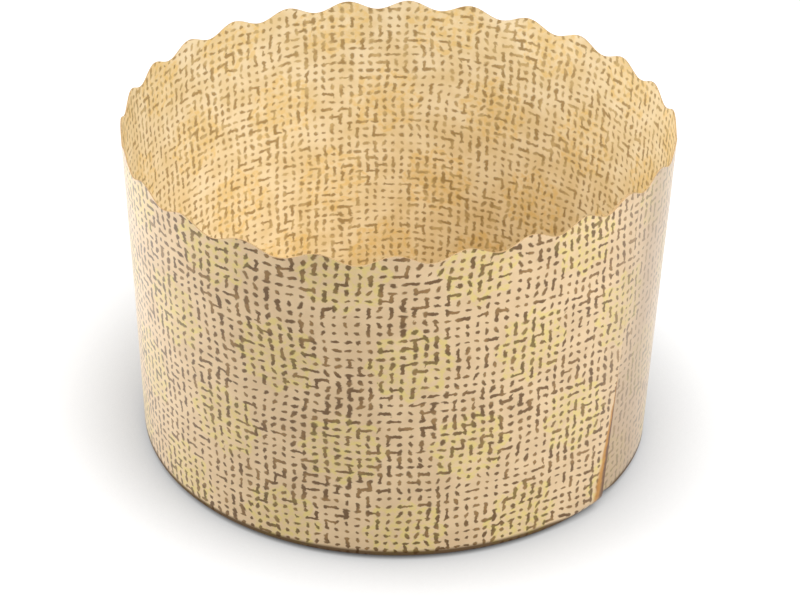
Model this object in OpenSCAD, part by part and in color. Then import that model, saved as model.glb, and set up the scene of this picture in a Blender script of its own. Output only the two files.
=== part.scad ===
// Panettone mold: a strip of double greaseproof paper, die-cut along its top edge,
// rolled up and glued along one upright lap, with its foot folded in under a round disc.
// The origin is on the ground, under the middle of the outline. The front is towards -Y.

/* [Size] */
// Diameter of the foot, over the paper
base_d = 170; // [120:1:200]
// Mean diameter of the rim
rim_d = 177; // [120:0.2:205]
// Height to the top of a scallop
wall_h = 110; // [50:1:140]
// Thickness of the paper
paper_t = 0.4; // [0.3:0.05:0.6]

/* [Scalloped rim] */
// Number of scallops round the rim
scallops = 26; // [18:1:36]
// Height of a scallop over the dips beside it
scallop_h = 3.1; // [1:0.1:6]
// Direction of one of the scallops, seen from above
scallop_dir = -34.3; // [-180:0.1:180]

/* [Lap seam] */
// Width of the glued lap, along the foot
lap_w = 12; // [8:1:24]
// Direction of the foot of the lap's outer cut edge, seen from above
seam_dir = -38; // [-180:0.1:180]
// How far the cut edge slants, from the foot to the rim, in degrees round the mold
lap_slant = 8; // [0:0.5:10]
// Thickness of the glue between two layers
glue_t = 0.05; // [0.05:0.05:0.15]
// How far the lap's cut edge stands off at the foot
lap_lift = 1.4; // [0:0.1:3]
// Length over which the inner end eases out to the wall's line
settle_w = 32; // [15:1:60]

/* [Foot] */
// Outer radius of the fold at the foot
fold_r = 1.6; // [1.5:0.1:4]
// Outer radius of the looser fold at the lap's cut edge
lap_fold_r = 4.2; // [4:0.1:6]
// How far the folds stand clear of the ground, because the pleated hem bows down
fold_rise = 0.9; // [0:0.1:2]
// Width over which the hem slopes from the fold down to its flat ring
hem_slope_w = 1.5; // [1:0.1:4]
// Width of the hem that is folded in, from the wall's outside
hem_w = 13; // [10:1:22]
// Width of the hem's flat ring, outside the pleats
hem_flat_w = 1.5; // [1:0.5:4]
// Number of pleats in the hem
pleats = 65; // [36:1:65]
// Height of a pleat over the flat hem
pleat_h = 0.45; // [0.1:0.05:1.2]
// Gap between the disc's edge and the nearest fold
disc_play = 0.3; // [0.1:0.1:2]

/* [Out of round] */
// How far the rim's middle stands off from above the foot's
rim_shift = 3.2; // [0:0.1:5]
// Direction of that shift
rim_shift_dir = 138; // [-180:1:180]
// How far the rim is pulled into an oval
rim_oval = 2.9; // [0:0.1:6]
// Direction of the oval's long axis
rim_oval_dir = 62; // [0:1:180]
// How far the rim is pulled into three soft lobes
rim_lobe = 1.6; // [0:0.1:4]
// Direction of one of the rim's three lobes
rim_lobe_dir = 1; // [-60:1:60]
// How far the rim is pulled into four soft corners
rim_corner = 0.6; // [0:0.1:3]
// Direction of one of those corners
rim_corner_dir = -18; // [-45:1:45]
// How far the foot is pulled into three soft lobes
foot_lobe = 0.8; // [0:0.1:3]
// Direction of one of the foot's lobes
foot_lobe_dir = -14; // [-60:1:60]

/* [Hidden] */
// Facets round the wall: each scallop has the same number
facets_a_scallop = 10;
facets = facets_a_scallop * scallops;
facet_angle = 360 / facets;
fold_facets = 3;
// Share of the pleated ring over which a pleat rises to its full height
pleat_rise = 0.3;
// Share of a pleat's length that slopes up, before it drops onto the next pleat
pleat_slope = 0.75;
// Two layers lie this far apart, from face to face
layer_step = paper_t + glue_t;
// The disc rests on the pleats and on the double hem at the lap
disc_z = paper_t + max(pleat_h, layer_step) + glue_t;
disc_r = base_d / 2 - foot_lobe - max(fold_r, lap_fold_r) - hem_slope_w - disc_play;
lap_angle = lap_w / (base_d / 2) * 180 / PI;
settle_angle = settle_w / (base_d / 2) * 180 / PI;

// Soft step from 0 to 1 while u goes from 0 to 1
function ease(u) = let (v = min(max(u, 0), 1)) v * v * (3 - 2 * v);

// Radius of the wall's outside at angle a, at the rim and at the foot
function rim_r(a) = rim_d / 2 + rim_shift * cos(a - rim_shift_dir)
    + rim_oval * cos(2 * (a - rim_oval_dir)) + rim_lobe * cos(3 * (a - rim_lobe_dir))
    + rim_corner * cos(4 * (a - rim_corner_dir));
function foot_r(a) = base_d / 2 + foot_lobe * cos(3 * (a - foot_lobe_dir));

// Height of the die-cut edge
function rim_z(a) = wall_h - scallop_h * (1 - cos(scallops * (a - scallop_dir))) / 2;

// The strip runs from its inner end, under the lap, once round to its outer cut edge
strip_start = seam_dir - lap_angle;
strip_end = seam_dir + 360;
// How close angle a is to the outer cut edge: 1 at the edge, 0 from two laps' width on
function near_edge(a) = ease(1 - (strip_end - a) / (2 * lap_angle));
// The inner end lies one layer further in, and eases out past the lap
function inset(a) = layer_step * (1 - ease((a - seam_dir - lap_slant) / settle_angle));
// The outer end stands off at its foot
function lift(a) = lap_lift * near_edge(a);
// The fold is loosest at the cut edge, in both layers
function fold(a) = let (past = ease(1 - (a - seam_dir) / lap_angle))
    fold_r + (lap_fold_r - fold_r) * (a > seam_dir ? max(near_edge(a), past)
        : ease(1 - (seam_dir - a) / (2 * lap_angle)));
// The pleats fade out on both sides of the double hem at the lap
function pleat_share(a) = ease((a - seam_dir - lap_slant) / settle_angle)
    * ease((strip_end - lap_angle - a) / settle_angle);
// Each pleat rises slowly and drops onto its neighbour
function pleat(a) = let (u = pleats * (a - seam_dir) / 360, v = u - floor(u))
    pleat_h * pleat_share(a) * (v < pleat_slope ? v / pleat_slope : (1 - v) / (1 - pleat_slope));

// Direction, at height z, of the upright line through the sheet that starts at angle a:
// near the outer end the lines lean over with the slanted cut edge
function upright(a, z) = a + lap_slant * near_edge(a) * z / wall_h;

// Section of the sheet along the upright line at angle a, from the rim down and in along
// the hem, as [radius, height] points at a depth under the outer face
function section(a, depth) = let (
    top_a = upright(a, wall_h),
    foot = foot_r(a) + lift(a),
    centre = [foot - fold(a), fold_rise + fold(a)],
    lean = atan2(rim_r(top_a) - foot, wall_h - fold_rise),
    d = inset(a) + depth,
    line_start = centre + fold(a) * [cos(lean), -sin(lean)],
    line_end = [rim_r(top_a), wall_h],
    top = (rim_z(top_a) - line_start.y) / (line_end.y - line_start.y),
    flat_start = centre.x - hem_slope_w,
    flat_end = flat_start - hem_flat_w,
    hem_end = foot_r(a) - hem_w,
    z = pleat(a)
) concat(
    [line_start + (line_end - line_start) * top - d * [cos(lean), -sin(lean)]],
    [for (i = [0 : fold_facets]) let (b = lean + (90 - lean) * i / fold_facets)
        centre + (fold(a) - d) * [cos(b), -sin(b)]],
    [[flat_start, d]],
    [[flat_end, d]],
    [[flat_end + (hem_end - flat_end) * pleat_rise, d + z]],
    [[hem_end, d + z]]
);

// Upright lines through the strip, from the outer cut edge back to the inner end
whole_facets = floor((strip_end - strip_start) / facet_angle - 0.01);
planes = concat([for (i = [0 : whole_facets]) strip_end - i * facet_angle], [strip_start]);

// Middle of the mold's outline, seen from above
outline = [for (a = planes) max(rim_r(a), foot_r(a) + lift(a)) * [cos(a), sin(a)]];
outline_x = [for (p = outline) p.x];
outline_y = [for (p = outline) p.y];
middle = [max(outline_x) + min(outline_x), max(outline_y) + min(outline_y)] / 2;

module side_wall() {
    rings = len(section(0, 0));
    loop = 2 * rings;
    // Along each upright line: down the outer face, then back up the inner face
    points = [for (a = planes, p = concat(section(a, 0), [for (i = [rings - 1 : -1 : 0])
        section(a, paper_t)[i]])) let (b = upright(a, p.y)) [p.x * cos(b), p.x * sin(b), p.y]];
    skin = [for (k = [0 : len(planes) - 2], i = [0 : loop - 1]) let (
        here = k * loop, next = here + loop, j = (i + 1) % loop)
        each [[here + i, here + j, next + i], [here + j, next + j, next + i]]];
    // A cut end is a strip of triangles between the two faces
    function cut_end(start, flip) = [for (i = [0 : rings - 2]) let (
        o = start + i, n = start + loop - 1 - i)
        each flip ? [[o, n, o + 1], [o + 1, n, n - 1]] : [[o, o + 1, n], [o + 1, n - 1, n]]];
    last = (len(planes) - 1) * loop;
    color([0.86, 0.73, 0.58])
        translate(-middle)
            polyhedron(points, concat(skin, cut_end(0, true), cut_end(last, false)));
}

module base_disc() {
    color([0.84, 0.7, 0.5])
        translate([-middle.x, -middle.y, disc_z])
            cylinder(r = disc_r, h = paper_t, $fn = facets);
}

side_wall();
base_disc();
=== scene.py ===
import math

import bmesh
import bpy
from mathutils import Matrix, Vector, noise


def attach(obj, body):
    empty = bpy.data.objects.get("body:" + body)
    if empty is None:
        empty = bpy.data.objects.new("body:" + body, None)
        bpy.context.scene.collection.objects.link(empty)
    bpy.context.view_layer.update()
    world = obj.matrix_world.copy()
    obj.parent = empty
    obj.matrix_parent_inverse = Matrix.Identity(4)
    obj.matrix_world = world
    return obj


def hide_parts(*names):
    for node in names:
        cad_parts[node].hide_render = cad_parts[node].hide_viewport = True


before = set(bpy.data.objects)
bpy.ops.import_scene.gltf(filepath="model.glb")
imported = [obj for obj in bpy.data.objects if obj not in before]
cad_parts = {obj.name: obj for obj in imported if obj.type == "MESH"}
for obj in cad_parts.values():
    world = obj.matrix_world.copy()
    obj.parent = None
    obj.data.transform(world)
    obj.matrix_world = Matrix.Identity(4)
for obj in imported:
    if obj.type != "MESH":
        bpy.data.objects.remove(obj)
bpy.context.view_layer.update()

# Side wall: one strip of double greaseproof paper, printed on its outer face with a burlap
# weave and die-cut into scallops along the top. It is rolled up and glued along one upright
# lap at the front right, and its foot is folded in as a flat hem gathered into small pleats.
MM = 0.001
FOOT_R = 85 * MM
RIM_R = 88.5 * MM
WALL_H = 110 * MM
PAPER_T = 0.4 * MM
GLUE_T = 0.05 * MM
SCALLOPS = 26
SCALLOP_H = 3.1 * MM
SCALLOP_DIR = math.radians(-34.3)
LAP_W = 12 * MM
LAP_LIFT = 1.4 * MM
LAP_SLANT = math.radians(8)
SETTLE_W = 32 * MM
FOLD_R = 1.6 * MM
LAP_FOLD_R = 4.2 * MM
FOLD_RISE = 0.9 * MM
HEM_W = 13 * MM
HEM_SLOPE_W = 1.5 * MM
HEM_FLAT_W = 1.5 * MM
PLEATS = 65
PLEAT_H = 0.45 * MM
PLEAT_RISE = 0.3
PLEAT_SLOPE = 0.75
SEAM_DIR = math.radians(-38)
LAP_ANGLE = LAP_W / FOOT_R
SETTLE_ANGLE = SETTLE_W / FOOT_R
STRIP_START = SEAM_DIR - LAP_ANGLE
STRIP_END = SEAM_DIR + 2 * math.pi
LAYER_STEP = PAPER_T + GLUE_T

# Columns run round the strip, a whole number to each scallop and each pleat.
# Rows run up it, from the hem's inner end to the die-cut edge.
COLUMNS_ROUND = 780
HEM_ROWS = 5
FOLD_ROWS = 6
WALL_ROWS = 24
ROWS = HEM_ROWS + FOLD_ROWS + WALL_ROWS
COLUMNS = round((STRIP_END - STRIP_START) / (2 * math.pi) * COLUMNS_ROUND)


def ease(u):
    v = min(max(u, 0.0), 1.0)
    return v * v * (3 - 2 * v)


def rim_radius(a):
    shift = 3.2 * MM * math.cos(a - math.radians(138))
    oval = 2.9 * MM * math.cos(2 * (a - math.radians(62)))
    lobes = 1.6 * MM * math.cos(3 * (a - math.radians(1)))
    corners = 0.6 * MM * math.cos(4 * (a - math.radians(-18)))
    return RIM_R + shift + oval + lobes + corners


def foot_radius(a):
    return FOOT_R + 0.8 * MM * math.cos(3 * (a - math.radians(-14)))


def die_cut_height(a):
    return WALL_H - SCALLOP_H * (1 - math.cos(SCALLOPS * (a - SCALLOP_DIR))) / 2


def near_edge(a):
    """1 at the lap's outer cut edge, 0 from two laps' width on."""
    return ease(1 - (STRIP_END - a) / (2 * LAP_ANGLE))


def inner_end_inset(a):
    return LAYER_STEP * (1 - ease((a - SEAM_DIR - LAP_SLANT) / SETTLE_ANGLE))


def fold_radius(a):
    if a > SEAM_DIR:
        loose = max(near_edge(a), ease(1 - (a - SEAM_DIR) / LAP_ANGLE))
    else:
        loose = ease(1 - (SEAM_DIR - a) / (2 * LAP_ANGLE))
    return FOLD_R + (LAP_FOLD_R - FOLD_R) * loose


def pleat_height(a):
    share = ease((a - SEAM_DIR - LAP_SLANT) / SETTLE_ANGLE)
    share *= ease((STRIP_END - LAP_ANGLE - a) / SETTLE_ANGLE)
    along = PLEATS * (a - SEAM_DIR) / (2 * math.pi)
    v = along - math.floor(along)
    return PLEAT_H * share * (v / PLEAT_SLOPE if v < PLEAT_SLOPE else (1 - v) / (1 - PLEAT_SLOPE))


def upright(a, z):
    """Direction, at height z, of the sheet's upright line that starts at angle a."""
    return a + LAP_SLANT * near_edge(a) * z / WALL_H


def ripple(a, z):
    """The slight waves of a paper wall that stands free: none at the foot, most at the rim."""
    where = Vector((math.cos(a), math.sin(a), z / WALL_H * 0.6))
    slow = noise.noise(where * 2.1 + Vector((3.1, 0, 0)))
    quick = noise.noise(where * 6.5 + Vector((0, 7.3, 0)))
    return (0.35 * slow + 0.16 * quick) * MM * ease(z / WALL_H * 1.2)


def middle_of_outline():
    turns = [STRIP_END - i * 2 * math.pi / 260 for i in range(260)]
    reach = [max(rim_radius(a), foot_radius(a) + LAP_LIFT * near_edge(a)) for a in turns]
    xs = [r * math.cos(a) for r, a in zip(reach, turns)]
    ys = [r * math.sin(a) for r, a in zip(reach, turns)]
    return Vector(((max(xs) + min(xs)) / 2, (max(ys) + min(ys)) / 2, 0))


MIDDLE = middle_of_outline()


def sheet_section(a, row):
    """Radius and height of the sheet's outer face, and the way up the flat sheet from its
    fold line, for one row of the upright line that starts at angle a."""
    rim = rim_radius(upright(a, WALL_H))
    foot = foot_radius(a) + LAP_LIFT * near_edge(a)
    fold = fold_radius(a)
    centre = foot - fold
    lean = math.atan2(rim - foot, WALL_H - FOLD_RISE)
    depth = inner_end_inset(a)
    bend = math.pi / 2 - lean
    flat = centre - HEM_SLOPE_W
    if row == HEM_ROWS - 1:
        return flat, depth, -HEM_SLOPE_W
    if row == HEM_ROWS - 2:
        return flat - HEM_FLAT_W, depth, -HEM_SLOPE_W - HEM_FLAT_W
    if row < HEM_ROWS - 2:
        inner = foot_radius(a) - HEM_W
        part = row / (HEM_ROWS - 3)
        r = inner + (1 - PLEAT_RISE) * (flat - HEM_FLAT_W - inner) * part
        return r, depth + pleat_height(a), r - centre
    if row <= HEM_ROWS + FOLD_ROWS:
        b = lean + bend * (1 - (row - HEM_ROWS) / FOLD_ROWS)
        r = centre + (fold - depth) * math.cos(b)
        return r, FOLD_RISE + fold - (fold - depth) * math.sin(b), fold * (math.pi / 2 - b)
    start_r = centre + fold * math.cos(lean)
    start_z = FOLD_RISE + fold * (1 - math.sin(lean))
    top = (die_cut_height(upright(a, WALL_H)) - start_z) / (WALL_H - start_z)
    part = top * (row - HEM_ROWS - FOLD_ROWS) / WALL_ROWS
    z = start_z + (WALL_H - start_z) * part + depth * math.sin(lean)
    r = start_r + (rim - start_r) * part - depth * math.cos(lean) + ripple(upright(a, z), z)
    return r, z, fold * bend + (WALL_H - start_z) / math.cos(lean) * part


def rolled_strip():
    """The flat strip, rolled up and folded. Its UV map is its flat cut, in metres."""
    bm = bmesh.new()
    bmesh.ops.create_grid(bm, x_segments=COLUMNS, y_segments=ROWS, size=0.5)
    uv = bm.loops.layers.uv.new("flat_cut")
    flat = {}
    for v in bm.verts:
        start = STRIP_START + (STRIP_END - STRIP_START) * (v.co.x + 0.5)
        row = round((v.co.y + 0.5) * ROWS)
        r, z, up = sheet_section(start, row)
        a = upright(start, z)
        flat[v] = ((a - STRIP_START) * FOOT_R, up)
        v.co = Vector((r * math.cos(a), r * math.sin(a), z)) - MIDDLE
    for face in bm.faces:
        face.smooth = True
        for loop in face.loops:
            loop[uv].uv = flat[loop.vert]
    return bm


def as_object(name, bm):
    mesh = bpy.data.meshes.new(name)
    bm.to_mesh(mesh)
    bm.free()
    obj = bpy.data.objects.new(name, mesh)
    bpy.context.scene.collection.objects.link(obj)
    return obj


def thickened(obj, thickness):
    """Gives a sheet its thickness, inwards: material 0 outside, 1 inside, 2 on the cut edges."""
    solid = obj.modifiers.new("paper", "SOLIDIFY")
    solid.thickness = thickness
    solid.offset = -1
    solid.material_offset = 1
    solid.material_offset_rim = 2
    made = obj.evaluated_get(bpy.context.evaluated_depsgraph_get())
    mesh = bpy.data.meshes.new_from_object(made)
    obj.modifiers.clear()
    obj.data = mesh
    mesh.set_sharp_from_angle(angle=math.radians(50))


def add_node(tree, kind, **settings):
    made = tree.nodes.new(kind)
    for name, value in settings.items():
        setattr(made, name, value)
    return made


def feed(tree, socket, value):
    if isinstance(value, bpy.types.NodeSocket):
        tree.links.new(value, socket)
    else:
        socket.default_value = value


def calc(tree, operation, *values):
    made = add_node(tree, "ShaderNodeMath", operation=operation)
    for socket, value in zip(made.inputs, values):
        feed(tree, socket, value)
    return made.outputs[0]


def calc_vector(tree, operation, *values):
    made = add_node(tree, "ShaderNodeVectorMath", operation=operation)
    for socket, value in zip(made.inputs, values):
        feed(tree, socket, value)
    return made.outputs["Value" if operation == "LENGTH" else "Vector"]


def soft_step(tree, value, start, end):
    """0 where value is at start, 1 where it is at end, smooth between."""
    made = add_node(tree, "ShaderNodeMapRange", interpolation_type="SMOOTHSTEP")
    feed(tree, made.inputs["Value"], value)
    feed(tree, made.inputs["From Min"], start)
    feed(tree, made.inputs["From Max"], end)
    return made.outputs["Result"]


def mixed(tree, factor, a, b):
    made = add_node(tree, "ShaderNodeMix", data_type="RGBA")
    feed(tree, made.inputs[0], factor)
    feed(tree, made.inputs[6], a)
    feed(tree, made.inputs[7], b)
    return made.outputs[2]


def noise_at(tree, vector, scale, detail=2.0, roughness=0.5, dimensions="3D"):
    made = add_node(tree, "ShaderNodeTexNoise", noise_dimensions=dimensions)
    feed(tree, made.inputs["Vector"], vector)
    feed(tree, made.inputs["Scale"], scale)
    feed(tree, made.inputs["Detail"], detail)
    feed(tree, made.inputs["Roughness"], roughness)
    return made.outputs


def stirred(tree, vector, scale, amount, detail=1.0):
    """The vector, pushed about by a flat noise of this scale, by up to about half the amount."""
    push = noise_at(tree, vector, scale, detail, 0.55, "2D")["Color"]
    push = calc_vector(tree, "SUBTRACT", push, (0.5, 0.5, 0.5))
    return calc_vector(tree, "MULTIPLY_ADD", push, (amount, amount, 0.0), vector)


def split(tree, vector):
    made = add_node(tree, "ShaderNodeSeparateXYZ")
    feed(tree, made.inputs[0], vector)
    return made.outputs


def joined(tree, x, y, z=0.0):
    made = add_node(tree, "ShaderNodeCombineXYZ")
    for socket, value in zip(made.inputs, (x, y, z)):
        feed(tree, socket, value)
    return made.outputs[0]


def new_group(name, inputs, outputs):
    tree = bpy.data.node_groups.new(name, "ShaderNodeTree")
    for label, kind in inputs.items():
        tree.interface.new_socket(label, in_out="INPUT", socket_type=kind)
    for label in outputs:
        tree.interface.new_socket(label, in_out="OUTPUT", socket_type="NodeSocketFloat")
    given = add_node(tree, "NodeGroupInput").outputs
    result = add_node(tree, "NodeGroupOutput").inputs
    return tree, given, result


def placed(tree, group, **values):
    made = add_node(tree, "ShaderNodeGroup", node_tree=group)
    for name, value in values.items():
        feed(tree, made.inputs[name], value)
    return made.outputs


THREAD_PITCH_ALONG = 3.1 * MM
THREAD_PITCH_UP = 2.85 * MM


def burlap_print():
    """Printed burlap: a dark mark for each hole between the threads. Some marks are stretched,
    and some run on into the next one. Lengths in here are shares of the threads' pitch."""
    tree, given, result = new_group(
        "burlap print", {"Flat": "NodeSocketVector", "Blur": "NodeSocketFloat"}, ["Marks", "Ink"])
    pitch = (THREAD_PITCH_ALONG, THREAD_PITCH_UP, 1.0)
    cell = calc_vector(tree, "DIVIDE", given["Flat"], pitch)
    cell = stirred(tree, cell, 0.11, 1.0)
    cell = stirred(tree, cell, 0.75, 0.36, 2.0)
    crowd = soft_step(tree, noise_at(tree, cell, 0.14, 2.0, 0.5, "2D")["Fac"], 0.3, 0.7)
    rough = stirred(tree, cell, 3.0, 0.22, 2.0)
    softest = calc(tree, "ADD", 1.0, given["Blur"])
    hardest = calc(tree, "SUBTRACT", 1.0, given["Blur"])

    def in_cell(offset, seed):
        """The place inside the cell, from its middle, three random numbers for the cell, and
        1 in every other cell, as on a chessboard."""
        shifted = calc_vector(tree, "ADD", rough, offset)
        local = calc_vector(tree, "SUBTRACT", calc_vector(tree, "FRACTION", shifted), (0.5, 0.5, 0.0))
        whole = calc_vector(tree, "FLOOR", shifted)
        chance = add_node(tree, "ShaderNodeTexWhiteNoise", noise_dimensions="3D")
        feed(tree, chance.inputs["Vector"], calc_vector(tree, "ADD", whole, (0.0, 0.0, seed)))
        column, row, _ = split(tree, whole)
        half = calc(tree, "FRACT", calc(tree, "MULTIPLY", calc(tree, "ADD", column, row), 0.5))
        odd = calc(tree, "GREATER_THAN", half, 0.25)
        return split(tree, local), split(tree, chance.outputs["Color"]), odd

    (x, y, _), (kind, size, lean), _ = in_cell((0.0, 0.0, 0.0), 3.0)
    grain = noise_at(tree, cell, 0.22, 1.0, 0.5, "2D")["Fac"]
    tall = calc(tree, "LESS_THAN", kind, calc(tree, "MULTIPLY_ADD", grain, 0.8, -0.02))
    wide = calc(tree, "GREATER_THAN", kind, calc(tree, "MULTIPLY_ADD", grain, 0.5, 0.6))
    size = calc(tree, "MULTIPLY_ADD", size, 0.36, 0.8)
    size = calc(tree, "MULTIPLY", size, calc(tree, "MULTIPLY_ADD", crowd, 0.25, 0.88))
    width = calc(tree, "MULTIPLY_ADD", wide, 0.13, calc(tree, "MULTIPLY_ADD", tall, -0.02, 0.235))
    height = calc(tree, "MULTIPLY_ADD", tall, 0.17, calc(tree, "MULTIPLY_ADD", wide, -0.05, 0.235))
    lean = calc(tree, "MULTIPLY_ADD", lean, 0.9, -0.45)
    x = calc(tree, "MULTIPLY_ADD", y, lean, x)
    across = calc(tree, "DIVIDE", x, calc(tree, "MULTIPLY", width, size))
    upwards = calc(tree, "DIVIDE", y, calc(tree, "MULTIPLY", height, size))
    spot = soft_step(tree, calc_vector(tree, "LENGTH", joined(tree, across, upwards)), softest, hardest)

    def bridge(offset, upright_one, share, seed):
        """The marks that join two neighbours. Only every other pair may join, so that the
        joined marks stay short."""
        (x, y, _), (luck, size, lean), odd = in_cell(offset, seed)
        beside, on = (x, y) if upright_one else (y, x)
        lean = calc(tree, "MULTIPLY_ADD", lean, 0.4, -0.2)
        beside = calc(tree, "ABSOLUTE", calc(tree, "MULTIPLY_ADD", on, lean, beside))
        thin = calc(tree, "MULTIPLY_ADD", size, 0.08, 0.125)
        line = soft_step(tree, calc(tree, "DIVIDE", beside, thin), softest, hardest)
        there = calc(tree, "LESS_THAN", luck, calc(tree, "MULTIPLY_ADD", crowd, share, share * 0.5))
        turn = odd if upright_one else calc(tree, "SUBTRACT", 1.0, odd)
        return calc(tree, "MULTIPLY", line, calc(tree, "MULTIPLY", there, turn))

    bridges = calc(tree, "MAXIMUM", bridge((0.0, 0.5, 0.0), True, 0.34, 11.0),
                   bridge((0.5, 0.0, 0.0), False, 0.18, 17.0))
    marks = calc(tree, "SMOOTH_MAX", spot, bridges, 0.15)
    feed(tree, result["Marks"], calc(tree, "MINIMUM", marks, 1.0))
    ink = noise_at(tree, cell, 0.6, 2.0, 0.5, "2D")["Fac"]
    feed(tree, result["Ink"], soft_step(tree, ink, 0.3, 0.62))
    return tree


ROSETTE_PITCH_ALONG = 38 * MM
ROSETTE_PITCH_UP = 31 * MM


def soft_rosettes():
    """Pale lace-like rosettes, in rows that are set over by half: eight petals round an eye."""
    tree, given, result = new_group("soft rosettes", {"Flat": "NodeSocketVector"}, ["Tint"])
    petals_round = 8.0
    along, up, _ = split(tree, stirred(tree, given["Flat"], 260.0, 1.6 * MM, 2.0))
    line = calc(tree, "MULTIPLY_ADD", up, 1 / ROSETTE_PITCH_UP, 0.15)
    place = calc(tree, "MULTIPLY", calc(tree, "FLOOR", line), 0.5)
    place = calc(tree, "MULTIPLY_ADD", along, 1 / ROSETTE_PITCH_ALONG, place)
    x = calc(tree, "SUBTRACT", calc(tree, "FRACT", place), 0.5)
    y = calc(tree, "SUBTRACT", calc(tree, "FRACT", line), 0.5)
    x = calc(tree, "MULTIPLY", x, ROSETTE_PITCH_ALONG)
    y = calc(tree, "MULTIPLY", y, ROSETTE_PITCH_UP)
    far = calc_vector(tree, "LENGTH", joined(tree, x, y))
    turn = calc(tree, "MULTIPLY", calc(tree, "ARCTAN2", y, x), petals_round)
    wave = calc(tree, "COSINE", turn)

    def ring(radius, bulge, half_wide):
        """A closed band round the middle, whose radius goes in and out with the petals."""
        off = calc(tree, "SUBTRACT", far, calc(tree, "MULTIPLY_ADD", wave, bulge, radius))
        return soft_step(tree, calc(tree, "ABSOLUTE", off), half_wide + 0.6 * MM, half_wide - 0.4 * MM)

    spokes = soft_step(tree, wave, 0.3, 0.8)
    spokes = calc(tree, "MULTIPLY", spokes, soft_step(tree, far, 10 * MM, 9 * MM))
    petals = ring(10.4 * MM, 1.5 * MM, 1.2 * MM)
    shape = calc(tree, "MAXIMUM", petals, ring(5.2 * MM, -0.9 * MM, 1 * MM))
    shape = calc(tree, "MAXIMUM", shape, calc(tree, "MULTIPLY", spokes, 0.7))
    shape = calc(tree, "MAXIMUM", shape, soft_step(tree, far, 2.8 * MM, 1.6 * MM))
    glow = calc(tree, "MULTIPLY", soft_step(tree, far, 13 * MM, 6 * MM), 0.4)
    shape = calc(tree, "MAXIMUM", shape, glow)
    worn = soft_step(tree, noise_at(tree, given["Flat"], 420.0, 3.0, 0.6)["Fac"], 0.34, 0.6)
    feed(tree, result["Tint"], calc(tree, "MULTIPLY", shape, worn))
    return tree


def paper_fibres():
    """Greaseproof paper: cloudy where it is held to the light, with short fibres in its face."""
    tree, given, result = new_group(
        "paper fibres", {"Flat": "NodeSocketVector"}, ["Cloud", "Fibre", "Relief"])
    cloud = noise_at(tree, given["Flat"], 90.0, 3.0, 0.55)["Fac"]
    bent = stirred(tree, given["Flat"], 350.0, 2 * MM)
    stretched = calc_vector(tree, "MULTIPLY", bent, (0.45, 1.0, 1.0))
    fibre = noise_at(tree, stretched, 2600.0, 3.0, 0.65)["Fac"]
    buckle = noise_at(tree, given["Flat"], 160.0, 2.0, 0.5)["Fac"]
    feed(tree, result["Cloud"], soft_step(tree, cloud, 0.3, 0.7))
    feed(tree, result["Fibre"], fibre)
    feed(tree, result["Relief"], calc(tree, "MULTIPLY_ADD", fibre, 0.12, buckle))
    return tree


# How far the lap's cut edge leans along the flat strip, for each unit of height
LAP_SLANT_RATIO = LAP_SLANT * FOOT_R / WALL_H


def lap_stain_and_shade():
    """Along its lower half the lap's outer cut edge is golden, with a dark brown line at the very
    edge: partly glue stain, partly painted shade under the lifted edge. Both are widest at the foot,
    where the glue came through and the edge stands off furthest."""
    tree, given, result = new_group("lap stain and shade", {"Flat": "NodeSocketVector"}, ["Stain", "Deep"])
    along, up, _ = split(tree, stirred(tree, given["Flat"], 240.0, 1.4 * MM, 2.0))
    edge = calc(tree, "MULTIPLY_ADD", up, LAP_SLANT_RATIO, (STRIP_END - STRIP_START) * FOOT_R)
    from_edge = calc(tree, "SUBTRACT", edge, along)
    wide = calc(tree, "MULTIPLY_ADD", soft_step(tree, up, 60 * MM, -8 * MM), 6 * MM, 0.01 * MM)
    near = calc(tree, "DIVIDE", from_edge, wide)
    feed(tree, result["Stain"], soft_step(tree, near, 1.0, 0.6))
    feed(tree, result["Deep"], soft_step(tree, near, 0.5, 0.2))
    return tree


def painted_shade_past_lap():
    """Past the lap the paper is painted darker and duller, as shade where the wall turns away from the
    light, and its print is painted fainter, over some 50 mm. Low down this starts at the lap's edge.
    Higher up it starts softly, a little before the edge."""
    fade_w = 16 * MM
    tree, given, result = new_group("painted shade past the lap", {"Flat": "NodeSocketVector"}, ["Rubbed"])
    along, up, _ = split(tree, stirred(tree, given["Flat"], 60.0, 8 * MM, 2.0))
    slant = calc(tree, "MULTIPLY", up, LAP_SLANT_RATIO)
    straight = calc(tree, "SUBTRACT", along, slant)
    high = soft_step(tree, up, 30 * MM, 65 * MM)
    lap_end = (STRIP_END - STRIP_START) * FOOT_R
    before = calc(tree, "MULTIPLY", soft_step(tree, straight, lap_end - fade_w, lap_end), 0.4)
    before = calc(tree, "MULTIPLY", before, high)
    soft = calc(tree, "MULTIPLY_ADD", soft_step(tree, straight, LAP_W, LAP_W + fade_w), 0.6, 0.4)
    past = calc(tree, "ADD", calc(tree, "MULTIPLY", calc(tree, "SUBTRACT", soft, 1.0), high), 1.0)
    past = calc(tree, "MULTIPLY", past, soft_step(tree, straight, LAP_W + 50 * MM, LAP_W + fade_w))
    feed(tree, result["Rubbed"], calc(tree, "MAXIMUM", before, past))
    return tree


BURLAP = burlap_print()
ROSETTES = soft_rosettes()
FIBRES = paper_fibres()
STAIN_AND_SHADE = lap_stain_and_shade()
SHADE_PAST_LAP = painted_shade_past_lap()


def colour(red, green, blue):
    """A colour as it is seen on screen, 0 to 255, as the linear value that a shader takes."""
    parts = [c / 255 for c in (red, green, blue)]
    return (*[p / 12.92 if p <= 0.04045 else ((p + 0.055) / 1.055) ** 2.4 for p in parts], 1.0)


def new_material(name, roughness):
    material = bpy.data.materials.new(name)
    material.use_nodes = True
    tree = material.node_tree
    shader = tree.nodes["Principled BSDF"]
    shader.inputs["Roughness"].default_value = roughness
    return material, tree, shader


def flat_cut(tree):
    return add_node(tree, "ShaderNodeUVMap", uv_map="flat_cut").outputs["UV"]


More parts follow.
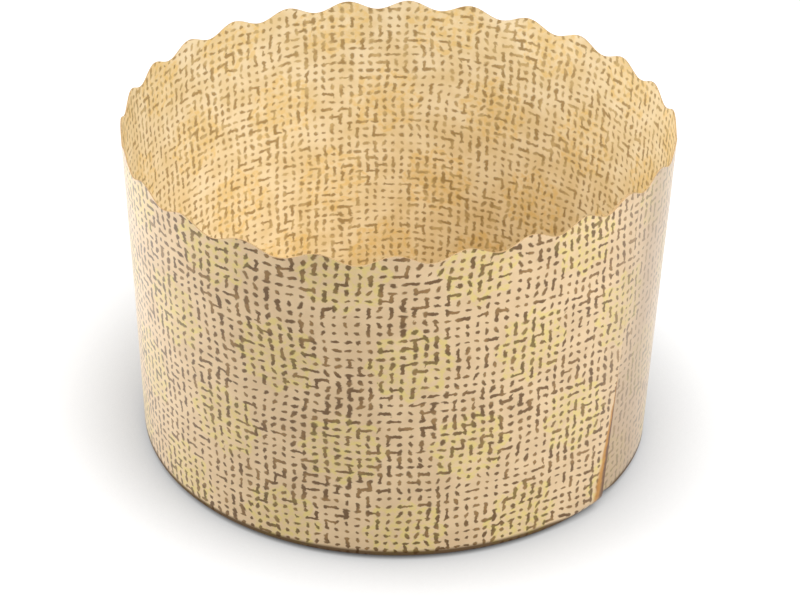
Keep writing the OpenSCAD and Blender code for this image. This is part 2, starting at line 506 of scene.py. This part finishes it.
def paper_relief(tree, shader, relief):
    bump = add_node(tree, "ShaderNodeBump")
    bump.inputs["Strength"].default_value = 0.25
    bump.inputs["Distance"].default_value = 0.4 * MM
    feed(tree, bump.inputs["Height"], relief)
    feed(tree, shader.inputs["Normal"], bump.outputs["Normal"])


def printed_face():
    material, tree, shader = new_material("printed paper", 0.45)
    shader.inputs["Specular IOR Level"].default_value = 0.1
    shader.inputs["Coat Roughness"].default_value = 0.3
    shader.inputs["Coat IOR"].default_value = 1.4
    where = flat_cut(tree)
    paper = placed(tree, FIBRES, Flat=where)
    weave = placed(tree, BURLAP, Flat=where, Blur=0.28)
    tint = placed(tree, ROSETTES, Flat=where)["Tint"]
    stain_and_shade = placed(tree, STAIN_AND_SHADE, Flat=where)
    shade_past_lap = placed(tree, SHADE_PAST_LAP, Flat=where)["Rubbed"]
    ground = mixed(tree, paper["Cloud"], colour(230, 199, 156), colour(242, 212, 169))
    ground = mixed(tree, calc(tree, "MULTIPLY", tint, 0.75), ground, colour(236, 214, 124))
    ground = mixed(tree, calc(tree, "MULTIPLY", paper["Fibre"], 0.15), ground, colour(196, 166, 130))
    # Past the lap the paper is painted darker and duller, as painted shade
    ground = mixed(tree, calc(tree, "MULTIPLY", shade_past_lap, 0.75), ground, colour(180, 152, 120))
    dark = mixed(tree, weave["Ink"], colour(150, 114, 64), colour(108, 77, 38))
    dark = mixed(tree, calc(tree, "MULTIPLY", tint, 0.6), dark, colour(136, 120, 52))
    # The print is painted fainter there, along with the painted shade
    marks = calc(tree, "MULTIPLY", weave["Marks"], calc(tree, "MULTIPLY_ADD", shade_past_lap, -0.35, 1.0))
    look = mixed(tree, marks, ground, dark)
    # The lap's cut edge: golden glue stain and a dark brown line, partly painted shade under the lifted
    # edge
    brown = mixed(tree, stain_and_shade["Deep"], colour(192, 130, 34), colour(98, 56, 14))
    look = mixed(tree, calc(tree, "MULTIPLY", stain_and_shade["Stain"], 0.95), look, brown)
    _, up, _ = split(tree, where)
    # The fold at the foot, and the hem beyond it, are painted dark brown as the shade under the raised
    # fold, and the coat's gloss is taken off there
    painted_fold_shade = soft_step(tree, up, 4.2 * MM, 2.8 * MM)
    look = mixed(tree, calc(tree, "MULTIPLY", painted_fold_shade, 0.9), look, colour(78, 52, 26))
    feed(tree, shader.inputs["Coat Weight"], calc(tree, "SUBTRACT", 1.0, painted_fold_shade))
    feed(tree, shader.inputs["Base Color"], look)
    paper_relief(tree, shader, paper["Relief"])
    return material


def show_through_face():
    material, tree, shader = new_material("paper with the print showing through", 0.5)
    where = flat_cut(tree)
    paper = placed(tree, FIBRES, Flat=where)
    weave = placed(tree, BURLAP, Flat=where, Blur=0.45)
    tint = placed(tree, ROSETTES, Flat=where)["Tint"]
    ground = mixed(tree, paper["Cloud"], colour(226, 204, 158), colour(238, 222, 188))
    ground = mixed(tree, calc(tree, "MULTIPLY", tint, 0.5), ground, colour(227, 190, 98))
    dark = mixed(tree, weave["Ink"], colour(192, 165, 112), colour(152, 122, 70))
    look = mixed(tree, calc(tree, "MULTIPLY", weave["Marks"], 0.9), ground, dark)
    feed(tree, shader.inputs["Base Color"], look)
    paper_relief(tree, shader, paper["Relief"])
    return material


def cut_edge_face():
    material, tree, shader = new_material("cut paper edge", 0.75)
    where = flat_cut(tree)
    paper = placed(tree, FIBRES, Flat=where)
    stain_and_shade = placed(tree, STAIN_AND_SHADE, Flat=where)
    look = mixed(tree, paper["Fibre"], colour(168, 132, 84), colour(206, 174, 128))
    # The lap's stain, partly painted shade, runs on over its cut edge
    look = mixed(tree, stain_and_shade["Stain"], look, colour(150, 106, 52))
    feed(tree, shader.inputs["Base Color"], look)
    return material


side_wall = as_object("side_wall_paper", rolled_strip())
for face_material in (printed_face(), show_through_face(), cut_edge_face()):
    side_wall.data.materials.append(face_material)
thickened(side_wall, PAPER_T)
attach(side_wall, "root")
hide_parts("side_wall")

# Base disc: a round of the same paper, printed side down. It is dropped in from above and
# glued down on the pleated hem, whose pleats show through it as faint rays near the edge.
base_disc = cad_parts["base_disc"]


def disc_face():
    material, tree, shader = new_material("base disc paper", 0.5)
    where = add_node(tree, "ShaderNodeTexCoord").outputs["Object"]
    paper = placed(tree, FIBRES, Flat=where)
    look = mixed(tree, paper["Cloud"], colour(240, 216, 172), colour(249, 229, 190))
    x, y, _ = split(tree, calc_vector(tree, "ADD", where, MIDDLE))
    rays = calc(tree, "SINE", calc(tree, "MULTIPLY", calc(tree, "ARCTAN2", y, x), float(PLEATS)))
    far = calc_vector(tree, "LENGTH", joined(tree, x, y))
    on_hem = soft_step(tree, far, FOOT_R - HEM_W - 1 * MM, FOOT_R - HEM_W + 2 * MM)
    relief = calc(tree, "MULTIPLY", calc(tree, "MULTIPLY", rays, on_hem), 0.35)
    feed(tree, shader.inputs["Base Color"], look)
    paper_relief(tree, shader, calc(tree, "ADD", paper["Relief"], relief))
    return material


base_disc.data.materials.clear()
base_disc.data.materials.append(disc_face())

# Studio: a white table under soft light, and a camera that looks down into the mold.
# The background is white to the camera alone, so it adds no light to the paper.
def white_table():
    bm = bmesh.new()
    bmesh.ops.create_circle(bm, cap_ends=True, segments=96, radius=2.2)
    table = as_object("table", bm)
    material, tree, shader = new_material("white table", 0.8)
    shader.inputs["Specular IOR Level"].default_value = 0.0
    path = add_node(tree, "ShaderNodeLightPath").outputs
    seen = calc(tree, "MAXIMUM", path["Is Camera Ray"], path["Is Glossy Ray"])
    near = add_node(tree, "ShaderNodeAmbientOcclusion")
    near.inputs["Distance"].default_value = 50 * MM
    shade = calc(tree, "POWER", near.outputs["AO"], 0.95)
    white = joined(tree, shade, shade, shade)
    lit = calc_vector(tree, "MULTIPLY", white, (0.4, 0.4, 0.4))
    feed(tree, shader.inputs["Base Color"], mixed(tree, seen, (0.3, 0.3, 0.3, 1), lit))
    feed(tree, shader.inputs["Emission Color"], white)
    feed(tree, shader.inputs["Emission Strength"], calc(tree, "MULTIPLY", seen, 0.76))
    table.data.materials.append(material)


def white_world(light):
    world = bpy.data.worlds.new("white studio")
    bpy.context.scene.world = world
    world.use_nodes = True
    tree = world.node_tree
    lit = tree.nodes["Background"]
    lit.inputs["Strength"].default_value = light
    white = add_node(tree, "ShaderNodeBackground")
    white.inputs["Strength"].default_value = 1.0
    white.inputs["Color"].default_value = (1, 1, 1, 1)
    lit.inputs["Color"].default_value = (1, 1, 1, 1)
    path = add_node(tree, "ShaderNodeLightPath").outputs
    choose = add_node(tree, "ShaderNodeMixShader")
    seen = calc(tree, "MAXIMUM", path["Is Camera Ray"], path["Is Glossy Ray"])
    seen = calc(tree, "MAXIMUM", seen, path["Is Transmission Ray"])
    feed(tree, choose.inputs[0], seen)
    tree.links.new(lit.outputs[0], choose.inputs[1])
    tree.links.new(white.outputs[0], choose.inputs[2])
    tree.links.new(choose.outputs[0], tree.nodes["World Output"].inputs["Surface"])


def softbox(name, place, size, power):
    data = bpy.data.lights.new(name, "AREA")
    data.shape = "RECTANGLE"
    data.size = size[0]
    data.size_y = size[1]
    data.energy = power
    lamp = bpy.data.objects.new(name, data)
    bpy.context.scene.collection.objects.link(lamp)
    aim = Vector((0, 0, 0.05)) - Vector(place)
    lamp.matrix_world = Matrix.Translation(place) @ aim.to_track_quat("-Z", "Y").to_matrix().to_4x4()


white_table()
white_world(0.2)
softbox("left softbox", (-1.04, 0.0, 0.54), (0.9, 0.9), 14)
softbox("front softbox", (0.42, -0.61, 0.93), (0.9, 0.9), 9)
softbox("right softbox", (0.74, -0.34, 0.86), (0.9, 0.9), 7.5)

# The camera stands where the outline of the mold is seen as in the photograph
EYE = Vector((7.2, -541.9, 375.8)) * MM - MIDDLE
LOOK_DOWN = 0.5523
TURN = 0.0112
TILT = 0.0367
LENS = 85.97
camera_data = bpy.data.cameras.new("camera")
camera_data.lens = LENS
camera_data.sensor_width = 36
camera = bpy.data.objects.new("camera", camera_data)
bpy.context.scene.collection.objects.link(camera)
turned = Matrix.Rotation(TURN, 4, "Z") @ Matrix.Rotation(math.pi / 2 - LOOK_DOWN, 4, "X")
camera.matrix_world = Matrix.Translation(EYE) @ turned @ Matrix.Rotation(TILT, 4, "Z")
bpy.context.scene.camera = camera
bpy.context.scene.view_settings.view_transform = "Standard"
